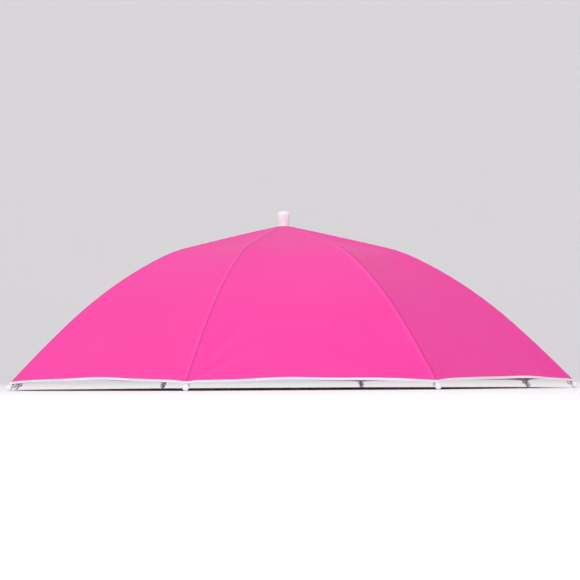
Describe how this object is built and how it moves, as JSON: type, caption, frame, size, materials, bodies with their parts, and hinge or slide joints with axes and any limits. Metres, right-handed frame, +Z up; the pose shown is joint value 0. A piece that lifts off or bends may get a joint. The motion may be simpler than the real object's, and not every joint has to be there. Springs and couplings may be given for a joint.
{
  "type": "umbrella hat",
  "caption": "Hat in the form of a small open umbrella: a pink cloth canopy on steel ribs with ball tips, carried by an elastic headband hung inside it from the stretchers.",
  "frame": {"origin": "on the floor that the rib tips stand on, straight under the crown", "axes": "+Z up through the crown ferrule, -Y to the front, where the middle of a panel faces"},
  "size_m": [0.5772, 0.5772, 0.1881],
  "materials": {
    "canopy_cloth": "hot pink plain-weave polyester with a soft sheen and a silver-coated underside",
    "binding_tape": "narrow white bias tape",
    "frame_steel": "gloss black lacquer on steel wire",
    "tip_plastic": "white moulded plastic, soft gloss",
    "frame_plastic": "white moulded plastic, satin",
    "band_elastic": "black ribbed elastic",
    "strap_webbing": "black woven tape"
  },
  "bodies": {
    "root": {"canopy_panel_1": "canopy_cloth", "canopy_panel_2": "canopy_cloth", "canopy_panel_3": "canopy_cloth", "canopy_panel_4": "canopy_cloth", "canopy_panel_5": "canopy_cloth", "canopy_panel_6": "canopy_cloth", "canopy_panel_7": "canopy_cloth", "canopy_panel_8": "canopy_cloth", "edge_binding": "binding_tape", "rib_1": "frame_steel", "rib_2": "frame_steel", "rib_3": "frame_steel", "rib_4": "frame_steel", "rib_5": "frame_steel", "rib_6": "frame_steel", "rib_7": "frame_steel", "rib_8": "frame_steel", "rib_tip_1": "tip_plastic", "rib_tip_2": "tip_plastic", "rib_tip_3": "tip_plastic", "rib_tip_4": "tip_plastic", "rib_tip_5": "tip_plastic", "rib_tip_6": "tip_plastic", "rib_tip_7": "tip_plastic", "rib_tip_8": "tip_plastic", "stretcher_1": "frame_steel", "stretcher_2": "frame_steel", "stretcher_3": "frame_steel", "stretcher_4": "frame_steel", "stretcher_5": "frame_steel", "stretcher_6": "frame_steel", "stretcher_7": "frame_steel", "stretcher_8": "frame_steel", "hang_strap_1": "strap_webbing", "hang_strap_2": "strap_webbing", "hang_strap_3": "strap_webbing", "hang_strap_4": "strap_webbing", "hang_strap_5": "strap_webbing", "hang_strap_6": "strap_webbing", "hang_strap_7": "strap_webbing", "hang_strap_8": "strap_webbing", "top_hub": "frame_plastic", "runner": "frame_plastic", "shaft": "frame_plastic", "crown_ferrule": "tip_plastic", "headband": "band_elastic"}
  },
  "joints": []
}
